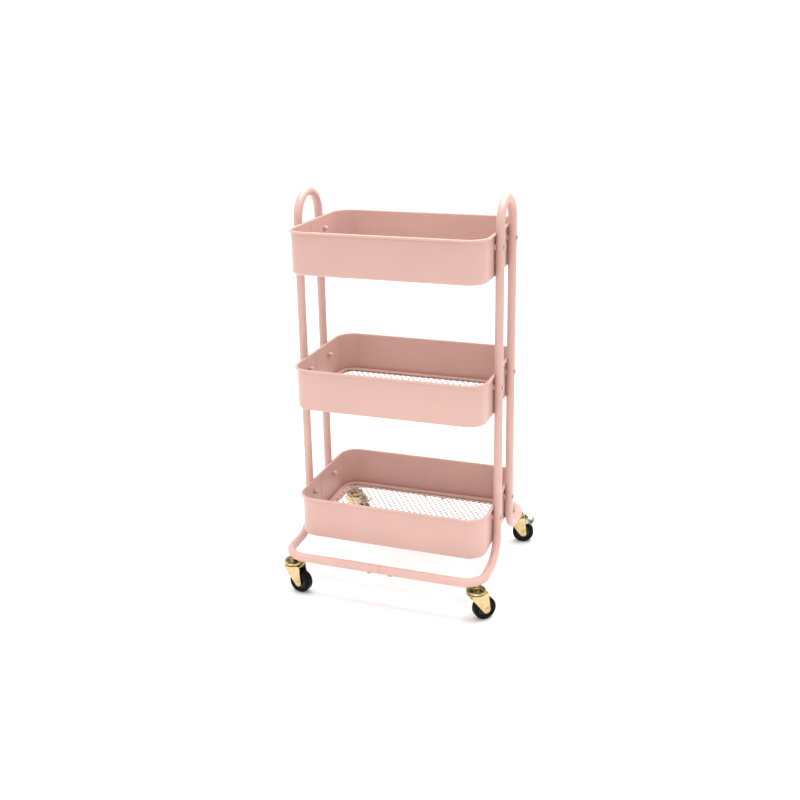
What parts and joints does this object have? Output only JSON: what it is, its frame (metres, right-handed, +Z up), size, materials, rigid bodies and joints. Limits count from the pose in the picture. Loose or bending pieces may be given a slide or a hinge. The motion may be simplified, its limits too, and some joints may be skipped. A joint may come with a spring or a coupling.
{
  "type": "rolling utility trolley",
  "caption": "Rolling tray trolley: bent-tube side frames with arched handles, deep mesh-floored trays one above another, and swivel casters with foot brakes at the rear.",
  "frame": {"origin": "centre of the whole bounding box at floor level, casters at their rest headings", "axes": "+Z up, +X along the long side of the trays from the left handle to the right handle, -Y towards the front long side"},
  "size_m": [0.4322, 0.3624, 0.77],
  "materials": {
    "powder_coat": "satin pale pink powder coat on steel tube",
    "powder_coat_sheet": "satin pale pink powder coat on steel sheet",
    "powder_coat_mesh": "satin pale pink powder coat on expanded steel mesh",
    "powder_coat_fastener": "satin pale pink painted fasteners",
    "yellow_zinc": "bright yellow zinc plating on pressed steel",
    "bare_steel": "plain steel",
    "wheel_plastic": "black moulded nylon",
    "tyre_rubber": "black rubber"
  },
  "bodies": {
    "cart": {"left_side_frame": "powder_coat", "right_side_frame": "powder_coat", "front_bar_sleeve": "bare_steel", "rear_bar_sleeve": "bare_steel", "bar_joint_screws": "powder_coat_fastener", "top_tray_wall": "powder_coat_sheet", "top_tray_mesh_floor": "powder_coat_mesh", "top_tray_screws": "powder_coat_fastener", "top_tray_cap_nuts": "powder_coat_fastener", "top_tray_spacers": "powder_coat_fastener", "middle_tray_wall": "powder_coat_sheet", "middle_tray_mesh_floor": "powder_coat_mesh", "middle_tray_screws": "powder_coat_fastener", "middle_tray_cap_nuts": "powder_coat_fastener", "middle_tray_spacers": "powder_coat_fastener", "bottom_tray_wall": "powder_coat_sheet", "bottom_tray_mesh_floor": "powder_coat_mesh", "bottom_tray_screws": "powder_coat_fastener", "bottom_tray_cap_nuts": "powder_coat_fastener", "bottom_tray_spacers": "powder_coat_fastener", "caster_socket_nuts": "yellow_zinc", "front_left_swivel_stem": "yellow_zinc", "front_left_bearing_balls": "bare_steel", "front_right_swivel_stem": "yellow_zinc", "front_right_bearing_balls": "bare_steel", "rear_left_swivel_stem": "yellow_zinc", "rear_left_bearing_balls": "bare_steel", "rear_right_swivel_stem": "yellow_zinc", "rear_right_bearing_balls": "bare_steel"},
    "front_left_swivel": {"front_left_fork": "yellow_zinc", "front_left_axle": "yellow_zinc"},
    "front_left_wheel": {"front_left_hub": "wheel_plastic", "front_left_tyre": "tyre_rubber"},
    "front_right_swivel": {"front_right_fork": "yellow_zinc", "front_right_axle": "yellow_zinc"},
    "front_right_wheel": {"front_right_hub": "wheel_plastic", "front_right_tyre": "tyre_rubber"},
    "rear_left_swivel": {"rear_left_fork": "yellow_zinc", "rear_left_axle": "yellow_zinc", "rear_left_brake_pin": "bare_steel"},
    "rear_left_wheel": {"rear_left_hub": "wheel_plastic", "rear_left_tyre": "tyre_rubber"},
    "rear_left_brake": {"rear_left_brake_pedal": "yellow_zinc"},
    "rear_right_swivel": {"rear_right_fork": "yellow_zinc", "rear_right_axle": "yellow_zinc", "rear_right_brake_pin": "bare_steel"},
    "rear_right_wheel": {"rear_right_hub": "wheel_plastic", "rear_right_tyre": "tyre_rubber"},
    "rear_right_brake": {"rear_right_brake_pedal": "yellow_zinc"}
  },
  "joints": [
    {"name": "front_left_swivel_turn", "type": "hinge", "parent": "cart", "child": "front_left_swivel", "pos_m": [-0.19269, -0.16158, 0.058], "axis": [0, 0, 1], "continuous": true},
    {"name": "front_left_wheel_spin", "type": "hinge", "parent": "front_left_swivel", "child": "front_left_wheel", "pos_m": [-0.17644, -0.16444, 0.022], "axis": [0.1736, 0.9848, 0], "continuous": true},
    {"name": "front_right_swivel_turn", "type": "hinge", "parent": "cart", "child": "front_right_swivel", "pos_m": [0.17597, -0.16158, 0.058], "axis": [0, 0, 1], "continuous": true},
    {"name": "front_right_wheel_spin", "type": "hinge", "parent": "front_right_swivel", "child": "front_right_wheel", "pos_m": [0.18804, -0.15032, 0.022], "axis": [-0.682, 0.7314, 0], "continuous": true},
    {"name": "rear_left_swivel_turn", "type": "hinge", "parent": "cart", "child": "rear_left_swivel", "pos_m": [-0.19269, 0.16158, 0.058], "axis": [0, 0, 1], "continuous": true},
    {"name": "rear_left_wheel_spin", "type": "hinge", "parent": "rear_left_swivel", "child": "rear_left_wheel", "pos_m": [-0.17675, 0.15731, 0.022], "axis": [0.2588, 0.9659, 0], "continuous": true},
    {"name": "rear_left_brake_press", "type": "hinge", "parent": "rear_left_swivel", "child": "rear_left_brake", "pos_m": [-0.1695, 0.15537, 0.048], "axis": [0.2588, 0.9659, 0], "range_deg": [0, 12]},
    {"name": "rear_right_swivel_turn", "type": "hinge", "parent": "cart", "child": "rear_right_swivel", "pos_m": [0.17597, 0.16158, 0.058], "axis": [0, 0, 1], "continuous": true},
    {"name": "rear_right_wheel_spin", "type": "hinge", "parent": "rear_right_swivel", "child": "rear_right_wheel", "pos_m": [0.19204, 0.16529, 0.022], "axis": [-0.225, 0.9744, 0], "continuous": true},
    {"name": "rear_right_brake_press", "type": "hinge", "parent": "rear_right_swivel", "child": "rear_right_brake", "pos_m": [0.19935, 0.16698, 0.048], "axis": [-0.225, 0.9744, 0], "range_deg": [0, 12]}
  ]
}
